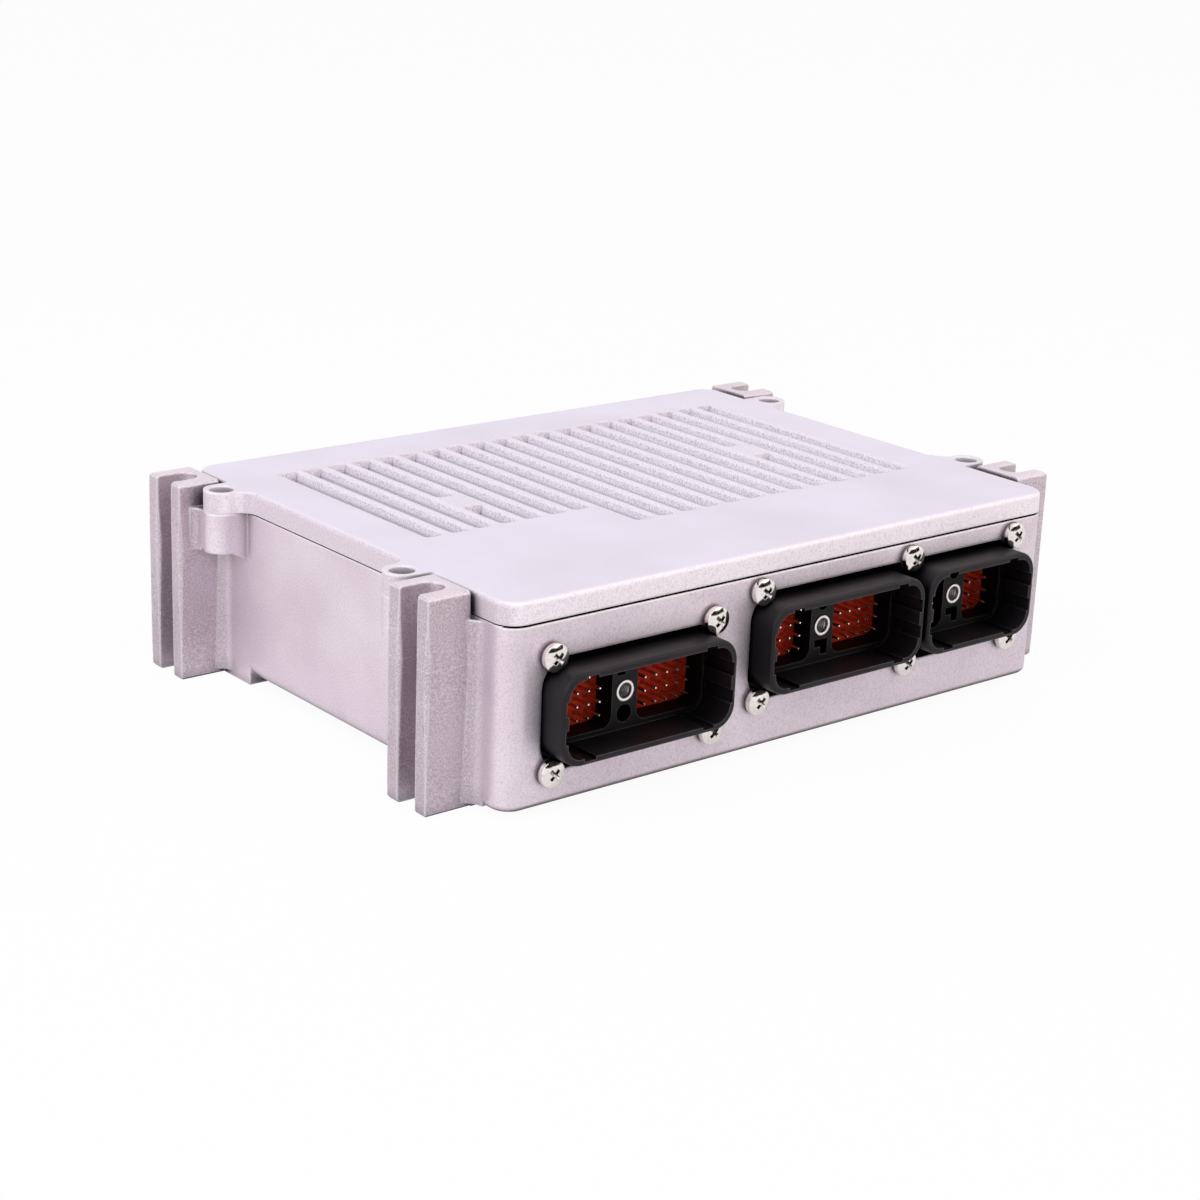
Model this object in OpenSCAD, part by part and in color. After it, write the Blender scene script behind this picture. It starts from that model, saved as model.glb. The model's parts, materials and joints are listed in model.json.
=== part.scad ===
// Engine control unit: a die-cast aluminium case with a grooved lid, four slotted mounting
// columns and three sealed plug headers in the front wall. Millimetres, +Z up.
// Origin: centre of the four mounting slots, on the plane the columns stand on.
// The plug headers face -Y; the slots open towards +X and -X.

/* [Case] */
// Width of the case across its side walls
case_w = 213; // [205:0.5:221]
// Mounting centre line to the outside of the front wall
case_front = 88.2; // [86:0.2:92]
// Step from the columns' rear faces in to the rear wall
rear_step = 0.4; // [0:0.1:2]
// Overall height, columns included
case_h = 62.4; // [61:0.1:66]
// Radius of the upright corners of the case and the lid
case_r = 6.5; // [5:0.5:8]
// Thickness of the cast walls
wall_t = 4; // [3:0.5:4.5]
// Radius of the inside corners of the case
cavity_r = 1.2; // [0.8:0.1:2.5]
// Thickness of the cast floor
floor_t = 4; // [3:0.5:5]
// Height of the case underside above the columns' feet
belly_z = 1.6; // [1:0.2:2.4]
// Radius along the lower edges of the side walls, between the columns
belly_side_r = 6; // [3:0.5:7]
// Radius along the lower edges of the front and rear walls and round the corners
belly_end_r = 2.2; // [1:0.2:3]
// Step down of the front wall's rim, where the lid gasket is thicker
front_relief = 0.3; // [0.1:0.1:0.6]

/* [Lid] */
// Thickness of the lid
lid_t = 6.6; // [6.2:0.1:7.2]
// Step from the column tops down to the lid
lid_drop = 0.4; // [0.2:0.1:1]
// Radius along the upper edge of the lid
lid_edge_r = 1.5; // [1:0.25:2]
// Thickness of the lid gasket
seal_t = 0.4; // [0.3:0.1:0.6]
// Set-back of the lid gasket from the outside of the case
seal_inset = 0.5; // [0.3:0.1:1]
// Width of the lid gasket
seal_w = 3; // [2:0.25:3.4]
// Outer radius of the lid's screw ears
ear_r = 5.5; // [5.3:0.1:6]
// Distance of the ear screws outside the side wall
ear_out = 5.7; // [5:0.1:6.5]
// Radius of the hollow blend between an ear and the side wall
ear_blend_r = 5; // [3:0.5:7]
// Gap between an ear and the column beside it
ear_gap = 2.3; // [1.6:0.1:2.6]
// Height of the boss under an ear
boss_h = 12.4; // [9:0.2:13]
// Slope of the underside of a boss, down towards the wall
boss_slope = 3; // [1:0.5:4]
// Reach of a boss's web outside the screw
boss_web = 4.2; // [2.5:0.1:4.5]
// Radius of the hollow corner between a boss's web and its column
boss_fillet_r = 2.2; // [1:0.2:3]

/* [Lid grooves] */
// Number of grooves
groove_n = 20; // [12:1:20]
// Distance between neighbouring grooves
groove_pitch = 9; // [8.6:0.1:9.4]
// Depth of the grooves
groove_d = 3.6; // [2.5:0.1:3.9]
// Width of a groove below its eased edge
groove_w = 6.7; // [5.5:0.1:7]
// Width of the eased edge of a groove
groove_ease = 0.55; // [0.3:0.05:0.7]
// Narrowing of a groove from its edge to its floor, each side
groove_draft = 0.5; // [0.2:0.1:1]
// Radius of a groove's corners, seen from above
groove_r = 2; // [1:0.25:2.5]
// Rear end of the grooves, from the mounting centre line
groove_rear = 53.4; // [48:0.2:56]
// Front end of the long grooves
groove_front = 45.1; // [40:0.1:56]
// Front end of the short grooves
groove_front_short = 26.9; // [20:0.1:36]
// Number of short grooves, counted from the left
groove_short_n = 7; // [4:1:9]
// Place of the first flat spot, counted in grooves from either end
spot_index = 3; // [1:1:3]
// Rear edge of the flat spots
spot_rear = 5.4; // [0:0.1:10]
// Length of the flat spots
spot_len = 11.5; // [8:0.1:14]

/* [Columns] */
// Mounting centre line to a slot's centre line, front to back
slot_y = 64.8; // [64:0.1:66]
// Width of a slot at the mould line
slot_w = 7.4; // [6.4:0.1:8]
// Length of a slot from the finger tips to its round end
slot_len = 11; // [9.5:0.1:11.4]
// Width of a column at the mould line
col_w = 19; // [18.4:0.1:19.4]
// Length of a column beyond the lid gap
col_len = 14.2; // [13.6:0.1:15]
// Gap between the lid and a column
col_gap = 1.8; // [1.4:0.1:2.4]
// Radius of the upright edges of the fingers
col_edge_r = 1.6; // [1:0.1:2]
// Height of the mould line
mould_z = 42; // [36:1:44]
// Narrowing of a column from the mould line to its top and foot, each side
col_draft = 0.55; // [0.3:0.05:0.7]
// Bevel round the foot and the top of a column
col_bevel = 0.7; // [0.3:0.1:1]
// Set-back of the web that joins a column to the wall
web_step = 0.7; // [0.4:0.1:1]
// Step down from the case rim to the top of a column's web
web_drop = 0.5; // [0.3:0.1:2]
// Radius of the hollow between a web and the side wall
web_fillet_r = 5; // [3:0.5:6]
// Length of a foot pad beside its column
pad_len = 14; // [10:0.5:18]
// Width of a foot pad under the case
pad_w = 12; // [8:0.5:16]

/* [Plug headers] */
// Space between the left wall and the single header's flange
clear_left = 7.1; // [5:0.1:9]
// Space between the two flanges
clear_mid = 10.1; // [8:0.1:12]
// Space between the twin header's flange and the right wall
clear_right = 8.6; // [7:0.1:11]
// Height of the single header's centre above the case floor
plug_a_rise = 22.9; // [21:0.1:25]
// Distance of the twin header's centre below the lid gasket
plug_b_drop = 21.3; // [20.8:0.1:23]
// Gap between the shrouds of the twin header
twin_gap = 1.8; // [1.4:0.1:2.4]
// Width of a forty-way shroud
shroud_w = 62.4; // [60.4:0.2:63]
// Width of the twenty-four-way shroud
shroud_w_small = 46.6; // [45:0.2:47.4]
// Height of a shroud
shroud_h = 26.8; // [26:0.2:27.4]
// Corner radius of a shroud
shroud_r = 7; // [5:0.25:8]
// Thickness of a shroud's rim
shroud_t = 2; // [1.6:0.1:2.4]
// Radius along the outer edge of a shroud's rim
shroud_edge_r = 1; // [0.5:0.1:1.2]
// Reach of a shroud in front of the wall
shroud_reach = 9; // [7:0.25:11]
// Depth from the rim to the face of the contact block
block_depth = 12; // [11.5:0.1:13.5]
// Depth of the contact pockets behind that face
pocket_depth = 7; // [5:0.25:8]
// Thickness of the contact seal
insert_t = 5.5; // [4:0.25:7]
// Width of the post between the contact pockets
post_w = 9.2; // [8.6:0.1:10]
// Step from the shroud's floor up to the contact pockets
pocket_sill = 1.6; // [1:0.1:2.4]
// Width of the key grooves in a shroud
key_w = 4; // [3:0.1:4.4]
// Depth of the key grooves in a shroud
key_d = 0.9; // [0.5:0.1:1]
// Height of the side key grooves above and below the middle
key_rise = 4.1; // [3:0.1:4.2]
// Distance of the long key grooves inside the round corners
key_in = 0.9; // [0:0.1:2]
// Width of the wall beside the contact pockets
pocket_side = 0.6; // [0.4:0.1:1.2]
// Corner radius of the contact pockets
pocket_r = 3.2; // [2:0.1:4]
// Thickness of a header's flange behind the wall
flange_t = 3.5; // [2.5:0.25:4.5]
// Margin of the flange round the screws
flange_margin = 3.8; // [3.4:0.1:4]
// Thickness of the gasket between flange and wall
plug_seal_t = 0.8; // [0.5:0.1:1.2]
// Side clearance of a shroud in the wall opening
window_side = 0.6; // [0.4:0.1:1]
// Clearance of a shroud above and below in the wall opening
window_rise = 3; // [2.4:0.1:3.1]
// Drop of the wall opening's centre below a header's centre
window_drop = 0.7; // [0.2:0.1:0.8]
// Corner radius of the wall opening
window_r = 8.5; // [7.5:0.1:9.5]
// Radius of the wall left round a header screw
tab_r = 3.5; // [3:0.1:3.6]

/* [Header keys] */
// Radius of the round key hole in the single header's post
mark_r = 2.6; // [2.2:0.1:2.7]
// Distance of the key holes below the nut
mark_drop = 6.7; // [6.4:0.1:7]
// Depth of the notches above the nut
notch_d = 4; // [2:0.5:5]
// Width of the square notch above the nut
notch_w = 2.8; // [2:0.1:3]
// Height of the square notch
notch_h = 2.4; // [1.5:0.1:2.6]
// Rise of the notches above the nut
notch_rise = 4.8; // [4.4:0.1:5.2]
// Radius of the half-round notch in the twin header's posts
half_notch_r = 2; // [1.5:0.1:2.2]
// Width of the angled key hole in the twin header's posts
angle_w = 5.3; // [4:0.1:5.6]
// Height of the angled key hole's upper arm
angle_h = 2.3; // [1.6:0.1:2.4]
// Width of the angled key hole's lower arm
angle_leg_w = 2.7; // [1.6:0.1:3]
// Height of the angled key hole's lower arm
angle_leg_h = 2.4; // [1.5:0.1:2.5]

/* [Contacts] */
// Columns of contacts on each side of a forty-way post
ways_long = 5; // [3:1:5]
// Columns of contacts on each side of the twenty-four-way post
ways_short = 3; // [2:1:3]
// Distance between contacts along a row
pin_pitch_x = 3.95; // [3.6:0.05:4.1]
// Distance between rows of contacts
pin_pitch_z = 4; // [3.6:0.05:4.2]
// First contact from the middle of a header
pin_first = 8.2; // [7.4:0.1:8.4]
// Radius of a contact
pin_r = 0.5; // [0.4:0.05:0.65]
// Set-back of the contact tips behind the block's face
pin_back = 0.8; // [0.4:0.1:2]
// Length of the contact tails behind the seal
pin_tail = 5; // [3:0.5:7]
// Outer radius of the jackscrew nut
nut_r = 3.1; // [2.8:0.05:3.3]
// Thread radius of the jackscrew nut
nut_bore_r = 2.3; // [2:0.05:2.5]
// Height of the nut's end above the block's face
nut_proud = 0.3; // [0.1:0.1:0.6]

/* [Screws] */
// Thread radius of the header screws and the lid screws
screw_r = 2; // [1.5:0.1:2.1]
// Clearance round a screw in its hole
screw_slack = 0.2; // [0.1:0.05:0.3]
// Head radius of a header screw
head_r = 4; // [3.6:0.1:4.1]
// Head height of a header screw
head_h = 2.6; // [2.2:0.1:3]
// Radius of the dome of a screw head
head_dome_r = 8; // [5.5:0.25:9]
// Half length of the cross recess in a header screw
recess_r = 2.2; // [1.8:0.1:2.6]
// Width of the cross recess
recess_w = 1.1; // [0.6:0.1:1.2]
// Depth of the cross recess
recess_d = 1.6; // [1:0.1:1.8]
// Half length of the cross recess at its bottom
recess_floor = 0.7; // [0.5:0.1:1]
// Thickness of a spring washer
washer_t = 1; // [0.8:0.1:1.2]
// Outer radius of a spring washer
washer_r = 3.7; // [3.3:0.1:3.8]
// Width of the slit in a spring washer
washer_slit = 0.8; // [0.5:0.1:1.2]
// Distance of the header screws inside the end of the shroud
screw_in = 2.3; // [2:0.1:2.5]
// Distance of the header screws above and below the shroud
screw_rise = 3.3; // [3.2:0.1:3.6]
// Radius of the hole over a lid screw
sink_r = 3.7; // [3.5:0.1:3.9]
// Bevel round the hole over a lid screw
sink_ease = 0.4; // [0.2:0.1:0.6]
// Depth of a lid screw's head under the lid face
sink_d = 3.2; // [3:0.1:3.4]
// Height of a lid screw's countersunk head
sink_head_h = 1.8; // [1.6:0.1:2]
// Radius of the hexagon socket in a lid screw
socket_r = 1.4; // [1:0.1:1.4]
// Depth of the hexagon socket
socket_d = 1.2; // [0.8:0.1:1.4]
// Length of a lid screw's thread in the boss
lid_thread = 8; // [6:0.5:8]

/* [Circuit board] */
// Space between the board and the side walls
board_side = 8.5; // [6:0.5:12]
// Space between the board and the front wall
board_ahead = 12.2; // [10:0.2:16]
// Space between the board and the rear wall
board_behind = 7.9; // [5:0.1:12]
// Thickness of the board
board_t = 1.6; // [1.2:0.2:2]
// Height of the board posts above the floor
post_h = 4.4; // [3:0.2:5]
// Radius of the board posts
post_r = 4; // [3.5:0.25:5]
// Distance of the board screws from the board edges
board_inset = 6; // [5:0.25:8]
// Thread radius of the board screws
board_screw_r = 1.5; // [1.2:0.1:1.6]
// Head radius of the board screws
board_head_r = 2.8; // [2.4:0.1:3]
// Head height of the board screws
board_head_h = 1.8; // [1.4:0.1:2.4]
// Side of the processor
chip_w = 28; // [20:1:34]
// Height of the processor
chip_h = 2.4; // [1.6:0.1:3]
// Radius of the capacitors
cap_r = 6; // [4:0.25:7]
// Height of the capacitors
cap_h = 16; // [10:0.5:20]
// Distance between the capacitors
cap_pitch = 15; // [14.2:0.2:18]
// Distance of the middle capacitor from the board's right edge
cap_side = 40; // [34:1:50]
// Distance of the capacitors from the board's rear edge
cap_behind = 32; // [18:1:62]

/* [Hidden] */
$fn = 64;
eps = 0.01;
over = 1;

half_w = case_w / 2;
case_rear = slot_y + col_w / 2 - rear_step;
lid_top = case_h - lid_drop;
lid_bottom = lid_top - lid_t;
rim_z = lid_bottom - seal_t;
floor_z = belly_z + floor_t;

col_in = half_w + col_gap;
col_tip = col_in + col_len;
slot_cx = col_tip - slot_len + slot_w / 2;
web_out = col_in + over;
web_w = col_w - 2 * web_step;
web_top = rim_z - web_drop;
finger_w = (col_w - slot_w) / 2;

ear_x = half_w + ear_out;
ear_y = slot_y - col_w / 2 - ear_gap - ear_r;
blend_x = half_w + ear_blend_r;
blend_y = ear_y - sqrt(pow(ear_r + ear_blend_r, 2) - pow(blend_x - ear_x, 2));
sink_floor = lid_top - sink_d - sink_head_h;

flange_over = flange_margin - screw_in;
flange_a_w = shroud_w + 2 * flange_over;
flange_bc_w = shroud_w + twin_gap + shroud_w_small + 2 * flange_over;
spare_w = case_w - 2 * wall_t - flange_a_w - flange_bc_w;
clear_share = spare_w / (clear_left + clear_mid + clear_right);
plug_a_x = -half_w + wall_t + clear_left * clear_share + flange_a_w / 2;
plug_b_x = plug_a_x + flange_a_w / 2 + clear_mid * clear_share + flange_over + shroud_w / 2;
plug_c_x = plug_b_x + shroud_w / 2 + twin_gap + shroud_w_small / 2;
plug_a_z = floor_z + plug_a_rise;
plug_b_z = rim_z - plug_b_drop;
screw_z = shroud_h / 2 + screw_rise;
screws_a = [plug_a_x - shroud_w / 2 + screw_in, plug_a_x + shroud_w / 2 - screw_in];
screws_bc = [plug_b_x - shroud_w / 2 + screw_in, plug_b_x + shroud_w / 2 + twin_gap / 2,
    plug_c_x + shroud_w_small / 2 - screw_in];
front_y = -case_front;
flange_y = front_y + wall_t + plug_seal_t;
rim_y = front_y - shroud_reach;
block_y = rim_y + block_depth;
insert_y = block_y + pocket_depth;
back_y = insert_y + insert_t;
flange_h = 2 * (screw_z + flange_margin);

board_w = case_w - 2 * wall_t - 2 * board_side;
board_front = case_front - wall_t - board_ahead;
board_rear = case_rear - wall_t - board_behind;
board_z = floor_z + post_h;
board_top = board_z + board_t;

// The same shape at all four corners
module corners() {
    children();
    mirror([1, 0, 0]) children();
    mirror([0, 1, 0]) children();
    mirror([1, 0, 0]) mirror([0, 1, 0]) children();
}

// A flat shape drawn in X and Z, as a slab from y0 back to y1
module slab(y0, y1) {
    translate([0, y1, 0]) rotate([90, 0, 0]) linear_extrude(y1 - y0) children();
}

// A flat shape drawn in Y and Z, as a slab from x0 to x1
module cross_slab(x0, x1) {
    translate([x0, 0, 0]) rotate([90, 0, 90]) linear_extrude(x1 - x0) children();
}

// Rectangle with round corners about the origin
module round_rect(w, h, r) {
    square([w - 2 * r, h], center = true);
    square([w, h - 2 * r], center = true);
    for (sx = [-1, 1], sy = [-1, 1])
        translate([sx * (w / 2 - r), sy * (h / 2 - r)]) circle(r);
}

// Outline of the case seen from above, drawn in by the inset, with its corner radius
module case_plan(inset, r) {
    translate([0, (case_rear - case_front) / 2])
        round_rect(case_w - 2 * inset, case_front + case_rear - 2 * inset, r);
}

// Outline of one screw ear and its blend into the side wall
module ear_plan() {
    translate([ear_x, ear_y]) circle(ear_r);
    translate([half_w - wall_t / 2, ear_y - ear_r]) square([ear_out + wall_t / 2, 2 * ear_r]);
    difference() {
        translate([half_w - wall_t / 2, blend_y])
            square([blend_x - half_w + wall_t / 2, ear_y - blend_y]);
        translate([blend_x, blend_y]) circle(ear_blend_r);
    }
}

// Outline of one column: two round-edged fingers on a solid root
module column_plan() {
    translate([half_w - wall_t / 2, -web_w / 2]) square([web_out - half_w + wall_t / 2, web_w]);
    translate([col_in, -col_w / 2]) square([slot_cx - col_in, col_w]);
    for (s = [-1, 1]) translate([0, s * (slot_w + finger_w) / 2]) {
        translate([slot_cx, -finger_w / 2]) square([col_tip - col_edge_r - slot_cx, finger_w]);
        translate([slot_cx, -finger_w / 2 + col_edge_r])
            square([col_tip - slot_cx, finger_w - 2 * col_edge_r]);
        for (e = [-1, 1]) translate([col_tip - col_edge_r, e * (finger_w / 2 - col_edge_r)])
            circle(col_edge_r);
    }
}

// Side view of a column: widest at the mould line, bevelled at foot and top
module column_draft(half) {
    polygon([[-half + col_draft + col_bevel, 0], [half - col_draft - col_bevel, 0],
        [half - col_draft, col_bevel], [half, mould_z], [half - col_draft, case_h - col_bevel],
        [half - col_draft - col_bevel, case_h], [-half + col_draft + col_bevel, case_h],
        [-half + col_draft, case_h - col_bevel], [-half, mould_z], [-half + col_draft, col_bevel]]);
}

// The open slot of a column, wider towards its foot and its top
module slot_cut() {
    low = slot_w / 2 + col_draft;
    cross_slab(slot_cx, col_tip + over) polygon([[-low, -eps], [low, -eps], [slot_w / 2, mould_z],
        [low, case_h + eps], [-low, case_h + eps], [-slot_w / 2, mould_z]]);
    translate([slot_cx, 0, -eps]) cylinder(h = mould_z + eps, r1 = low, r2 = slot_w / 2);
    translate([slot_cx, 0, mould_z]) cylinder(h = case_h - mould_z + eps, r1 = slot_w / 2, r2 = low);
}

// One mounting column with its drafted faces and its slot
module column() {
    tip = col_tip;
    translate([0, slot_y, 0]) difference() {
        intersection() {
            linear_extrude(case_h) column_plan();
            cross_slab(half_w - wall_t, tip + over) column_draft(col_w / 2);
            slab(-col_w, col_w) polygon([[half_w - wall_t, 0], [tip - col_draft - col_bevel, 0],
                [tip - col_draft, col_bevel], [tip, mould_z], [tip - col_draft, case_h - col_bevel],
                [tip - col_draft - col_bevel, case_h], [half_w - wall_t, case_h]]);
        }
        slot_cut();
        translate([half_w - wall_t, -col_w, web_top]) cube([wall_t + col_gap, 2 * col_w, case_h]);
    }
}

// Hollow corner between a web and the side wall, on the side given
module web_hollow(y, s) {
    r = web_fillet_r;
    translate([0, 0, belly_z]) linear_extrude(web_top - belly_z) difference() {
        translate([half_w - wall_t / 2, min(y, y + s * r)]) square([r + wall_t / 2, r]);
        translate([half_w + r, y + s * r]) circle(r);
    }
}

// Boss under a lid ear with its web to the column; its underside runs down to the wall
module ear_boss() {
    low = lid_bottom - boss_h;
    root = half_w - wall_t / 2;
    intersection() {
        union() {
            translate([ear_x, ear_y, 0]) cylinder(h = lid_bottom, r = ear_r);
            translate([root, ear_y - ear_r, 0]) cube([ear_x - root, 2 * ear_r, lid_bottom]);
            translate([root, ear_y, 0])
                cube([ear_x + boss_web - root, slot_y - ear_y - web_w / 2 + over, rim_z]);
        }
        slab(0, slot_y) polygon([[root, low - boss_slope], [half_w, low - boss_slope],
            [ear_x, low], [col_tip, low], [col_tip, lid_bottom], [half_w, lid_bottom],
            [half_w, rim_z], [root, rim_z]]);
    }
    translate([ear_x + boss_web, slot_y - col_w / 2, mould_z]) boss_hollow(rim_z - mould_z);
}

// Hollow corner between a boss's web and the column, from the mould line up
module boss_hollow(h) {
    r = boss_fillet_r;
    linear_extrude(h) difference() {
        translate([-over, -r]) square([r + over, r + over]);
        translate([r, -r]) circle(r);
    }
}

// Foot pad that carries the column's foot in under the case
module foot_pad() {
    translate([half_w - pad_w, slot_y - col_w / 2 - pad_len, 0])
        cube([pad_w, pad_len + col_w - web_step, belly_z + belly_side_r + over]);
}

// The space that the front wall's rim leaves for the thicker stretch of the lid gasket
module front_rim() {
    translate([-half_w, front_y - over, rim_z - front_relief])
        cube([case_w, over + seal_inset + seal_w, front_relief + eps]);
}

// Case body without its hollow: round lower edges, rounder along the sides between the columns
module case_body() {
    r = belly_side_r;
    difference() {
        translate([0, (case_rear - case_front) / 2, rim_z]) mirror([0, 0, 1])
            eased_block(case_w, case_front + case_rear, case_r, rim_z - belly_z, belly_end_r);
        for (s = [0, 1]) mirror([s, 0, 0]) slab(-slot_y, slot_y) difference() {
            translate([half_w - r, belly_z - over]) square([r + over, r + over]);
            translate([half_w - r, belly_z + r]) circle(r);
        }
        front_rim();
    }
}

// Opening of the front wall for shrouds between two ends, with wall left round the screws
module window(x0, x1, z, screws) {
    difference() {
        translate([(x0 + x1) / 2, z - window_drop])
            round_rect(x1 - x0 + 2 * window_side, shroud_h + 2 * window_rise, window_r);
        for (x = screws, s = [-1, 1]) translate([x, z + s * screw_z]) circle(tab_r);
    }
}

module window_a() {
    window(plug_a_x - shroud_w / 2, plug_a_x + shroud_w / 2, plug_a_z, screws_a);
}

module window_bc() {
    window(plug_b_x - shroud_w / 2, plug_c_x + shroud_w_small / 2, plug_b_z, screws_bc);
}

module board_points() {
    x = board_w / 2 - board_inset;
    for (sx = [-1, 1], y = [-board_front + board_inset, board_rear - board_inset])
        translate([sx * x, y, 0]) children();
}

module housing() {
    color([0.80, 0.78, 0.81]) difference() {
        union() {
            difference() {
                union() {
                    case_body();
                    corners() foot_pad();
                    corners() column();
                    corners() ear_boss();
                    corners() web_hollow(slot_y - web_w / 2, -1);
                    mirror([0, 1, 0]) web_hollow(slot_y + web_w / 2, 1);
                    mirror([1, 0, 0]) mirror([0, 1, 0]) web_hollow(slot_y + web_w / 2, 1);
                }
                translate([0, 0, floor_z]) linear_extrude(case_h) case_plan(wall_t, cavity_r);
            }
            translate([0, 0, floor_z - eps]) board_points() cylinder(h = post_h + eps, r = post_r);
        }
        slab(front_y - over, front_y + wall_t + eps) {
            window_a();
            window_bc();
        }
        screw_holes();
        corners() translate([ear_x, ear_y, lid_bottom - lid_thread - over])
            cylinder(h = case_h, r = screw_r);
        board_points() translate([0, 0, belly_z + over]) cylinder(h = case_h, r = board_screw_r);
    }
}

// Edge section of a block: depth d, upright corner radius r, round upper edge e
module edge_section(r, d, e) {
    square([r - e, d]);
    square([r, d - e]);
    translate([r - e, d - e]) circle(e);
}

// Block with round upright corners and a round upper edge, standing on the origin
module eased_block(w, h, r, d, e) {
    cx = w / 2 - r;
    cy = h / 2 - r;
    translate([-cx, -cy, 0]) cube([2 * cx, 2 * cy, d]);
    for (s = [0, 180]) rotate([0, 0, s]) {
        translate([cx, cy, 0]) rotate([90, 0, 0]) linear_extrude(2 * cy) edge_section(r, d, e);
        translate([-cx, cy, 0]) rotate([90, 0, 90]) linear_extrude(2 * cx) edge_section(r, d, e);
        translate([cx, cy, 0]) rotate_extrude(angle = 90) edge_section(r, d, e);
        translate([cx, -cy, 0]) rotate([0, 0, -90]) rotate_extrude(angle = 90) edge_section(r, d, e);
    }
}

// One groove from its front end to its rear end
module groove(x, y0, y1) {
    half = groove_w / 2;
    translate([x, 0, lid_top]) intersection() {
        slab(y0, y1) polygon([[-half - groove_ease, eps], [-half, -groove_ease],
            [-half + groove_draft, -groove_d], [half - groove_draft, -groove_d],
            [half, -groove_ease], [half + groove_ease, eps]]);
        translate([0, (y0 + y1) / 2, -groove_d - over]) linear_extrude(groove_d + 2 * over)
            round_rect(groove_w + 2 * groove_ease, y1 - y0, groove_r);
    }
}

module grooves() {
    for (i = [0 : groove_n - 1]) {
        x = (i - (groove_n - 1) / 2) * groove_pitch;
        y0 = i < groove_short_n ? -groove_front_short : -groove_front;
        if (i == spot_index || i == groove_n - 1 - spot_index) {
            groove(x, spot_rear, groove_rear);
            groove(x, y0, spot_rear - spot_len);
        } else {
            groove(x, y0, groove_rear);
        }
    }
}

module lid() {
    color([0.87, 0.85, 0.89]) difference() {
        union() {
            translate([0, (case_rear - case_front) / 2, lid_bottom])
                eased_block(case_w, case_front + case_rear, case_r, lid_t, lid_edge_r);
            corners() translate([0, 0, lid_bottom]) linear_extrude(lid_t) ear_plan();
        }
        grooves();
        corners() translate([ear_x, ear_y, 0]) {
            translate([0, 0, lid_top - sink_d]) cylinder(h = sink_d + over, r = sink_r);
            translate([0, 0, lid_top - sink_ease])
                cylinder(h = sink_ease + eps, r1 = sink_r, r2 = sink_r + sink_ease + eps);
            translate([0, 0, sink_floor])
                cylinder(h = sink_head_h, r1 = screw_r + screw_slack, r2 = sink_r);
            translate([0, 0, lid_bottom - over])
                cylinder(h = sink_floor - lid_bottom + over + eps, r = screw_r + screw_slack);
        }
    }
}

// Outline of the lid gasket, seen from above
module seal_plan() {
    difference() {
        case_plan(seal_inset, case_r - seal_inset);
        case_plan(seal_inset + seal_w, case_r - seal_inset - seal_w);
    }
}

module lid_gasket() {
    color([0.10, 0.10, 0.11]) {
        translate([0, 0, rim_z]) linear_extrude(seal_t) seal_plan();
        intersection() {
            translate([0, 0, rim_z - front_relief]) linear_extrude(front_relief + eps) seal_plan();
            front_rim();
        }
    }
}

module lid_screws() {
    color([0.72, 0.72, 0.74]) corners() translate([ear_x, ear_y, 0]) difference() {
        union() {
            translate([0, 0, sink_floor])
                cylinder(h = sink_head_h, r1 = screw_r, r2 = sink_r - screw_slack);
            translate([0, 0, lid_bottom - lid_thread])
                cylinder(h = sink_floor - lid_bottom + lid_thread, r = screw_r);
        }
        translate([0, 0, sink_floor + sink_head_h - socket_d])
            cylinder(h = socket_d + over, r = socket_r, $fn = 6);
    }
}

// Flat outline of a shroud
module shroud_plan(w, inset) {
    round_rect(w - 2 * inset, shroud_h - 2 * inset, shroud_r - inset);
}

// Key grooves of a shroud, cut into its inner faces
module key_plan(w) {
    in_x = w / 2 - shroud_t;
    in_z = shroud_h / 2 - shroud_t;
    key_x = in_x - shroud_r - key_in;
    for (s = [-1, 1]) {
        translate([s * key_x, 0]) square([key_w, 2 * in_z + 2 * key_d], center = true);
        translate([0, s * key_rise]) square([2 * in_x + 2 * key_d, key_w], center = true);
    }
}

// Pockets beside the post, with round corners
module pocket_plan(w) {
    pw = w / 2 - shroud_t - post_w / 2 - pocket_side;
    ph = shroud_h - 2 * shroud_t - 2 * pocket_sill;
    for (s = [-1, 1]) translate([s * (post_w + pw) / 2, 0]) round_rect(pw, ph, pocket_r);
}

// Solid outside of one shroud, with a round outer edge at the rim
module shroud_solid(w) {
    translate([0, back_y, 0]) rotate([90, 0, 0])
        eased_block(w, shroud_h, shroud_r, back_y - rim_y, shroud_edge_r);
}

// Everything cut out of one shroud
module shroud_cut(w) {
    slab(rim_y - over, block_y) {
        shroud_plan(w, shroud_t);
        key_plan(w);
    }
    slab(block_y - eps, insert_y + eps) pocket_plan(w);
    slab(insert_y, back_y + over) shroud_plan(w, shroud_t);
    translate([0, block_y - over, 0]) rotate([-90, 0, 0])
        cylinder(h = pocket_depth + 2 * over, r = nut_r);
}

// Round key hole and square notch of the single header's post
module post_marks_round() {
    slab(block_y - eps, insert_y) translate([0, -mark_drop]) circle(mark_r);
    slab(block_y - eps, block_y + notch_d) translate([-notch_w, notch_rise]) square([notch_w, notch_h]);
}

// Angled key hole and half-round notch of a twin header's post
module post_marks_angle() {
    slab(block_y - eps, insert_y) {
        translate([-angle_w / 2, -mark_drop]) square([angle_w, angle_h]);
        translate([angle_w / 2 - angle_leg_w, -mark_drop - angle_leg_h])
            square([angle_leg_w, angle_leg_h + eps]);
    }
    slab(block_y - eps, block_y + notch_d) translate([0, notch_rise + half_notch_r]) difference() {
        circle(half_notch_r);
        translate([-half_notch_r - over, 0]) square([2 * half_notch_r + 2 * over, half_notch_r + over]);
    }
}

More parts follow.
